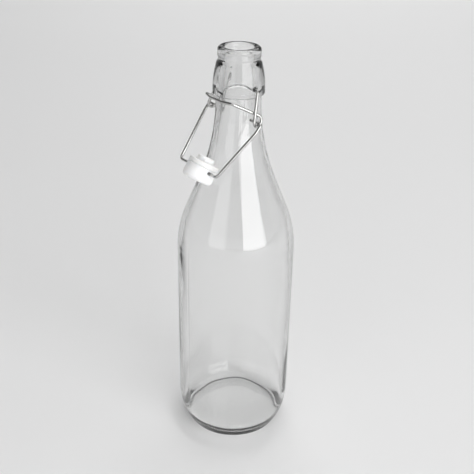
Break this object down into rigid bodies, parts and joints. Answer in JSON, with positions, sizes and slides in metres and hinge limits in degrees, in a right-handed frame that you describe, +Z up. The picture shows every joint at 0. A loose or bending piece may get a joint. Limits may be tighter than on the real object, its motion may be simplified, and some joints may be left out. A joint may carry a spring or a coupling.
{
  "type": "swing-top bottle",
  "caption": "Clear glass swing-top bottle with a long tapered shoulder; a steel wire lever and bail carry a white plastic stopper, shown open and hanging.",
  "frame": {"origin": "centre of the base, on the plane the bottle stands on", "axes": "+Z up the bottle's axis, X along the closure's hinge lines, -Y the closure's front"},
  "size_m": [0.0868, 0.09, 0.302],
  "materials": {
    "clear_glass": "polished",
    "lever_steel": "bright drawn wire",
    "bail_steel": "bright drawn wire",
    "stopper_plastic": "satin moulded",
    "gasket_rubber": "matt silicone"
  },
  "bodies": {
    "bottle": {"bottle": "clear_glass"},
    "lever": {"lever_wire": "lever_steel"},
    "bail": {"bail_wire": "bail_steel"},
    "stopper": {"stopper": "stopper_plastic", "gasket": "gasket_rubber"}
  },
  "joints": [
    {"name": "lever_pivot", "type": "hinge", "parent": "bottle", "child": "lever", "pos_m": [0, 0, 0.2765], "axis": [-1, 0, 0], "range_deg": [0, 50]},
    {"name": "bail_hooks", "type": "hinge", "parent": "lever", "child": "bail", "pos_m": [0, -0.0034, 0.2565], "axis": [-1, 0, 0], "range_deg": [0, 86]},
    {"name": "stopper_wire", "type": "hinge", "parent": "bail", "child": "stopper", "pos_m": [0, -0.0339, 0.2235], "axis": [-1, 0, 0], "range_deg": [-25, 28]}
  ]
}
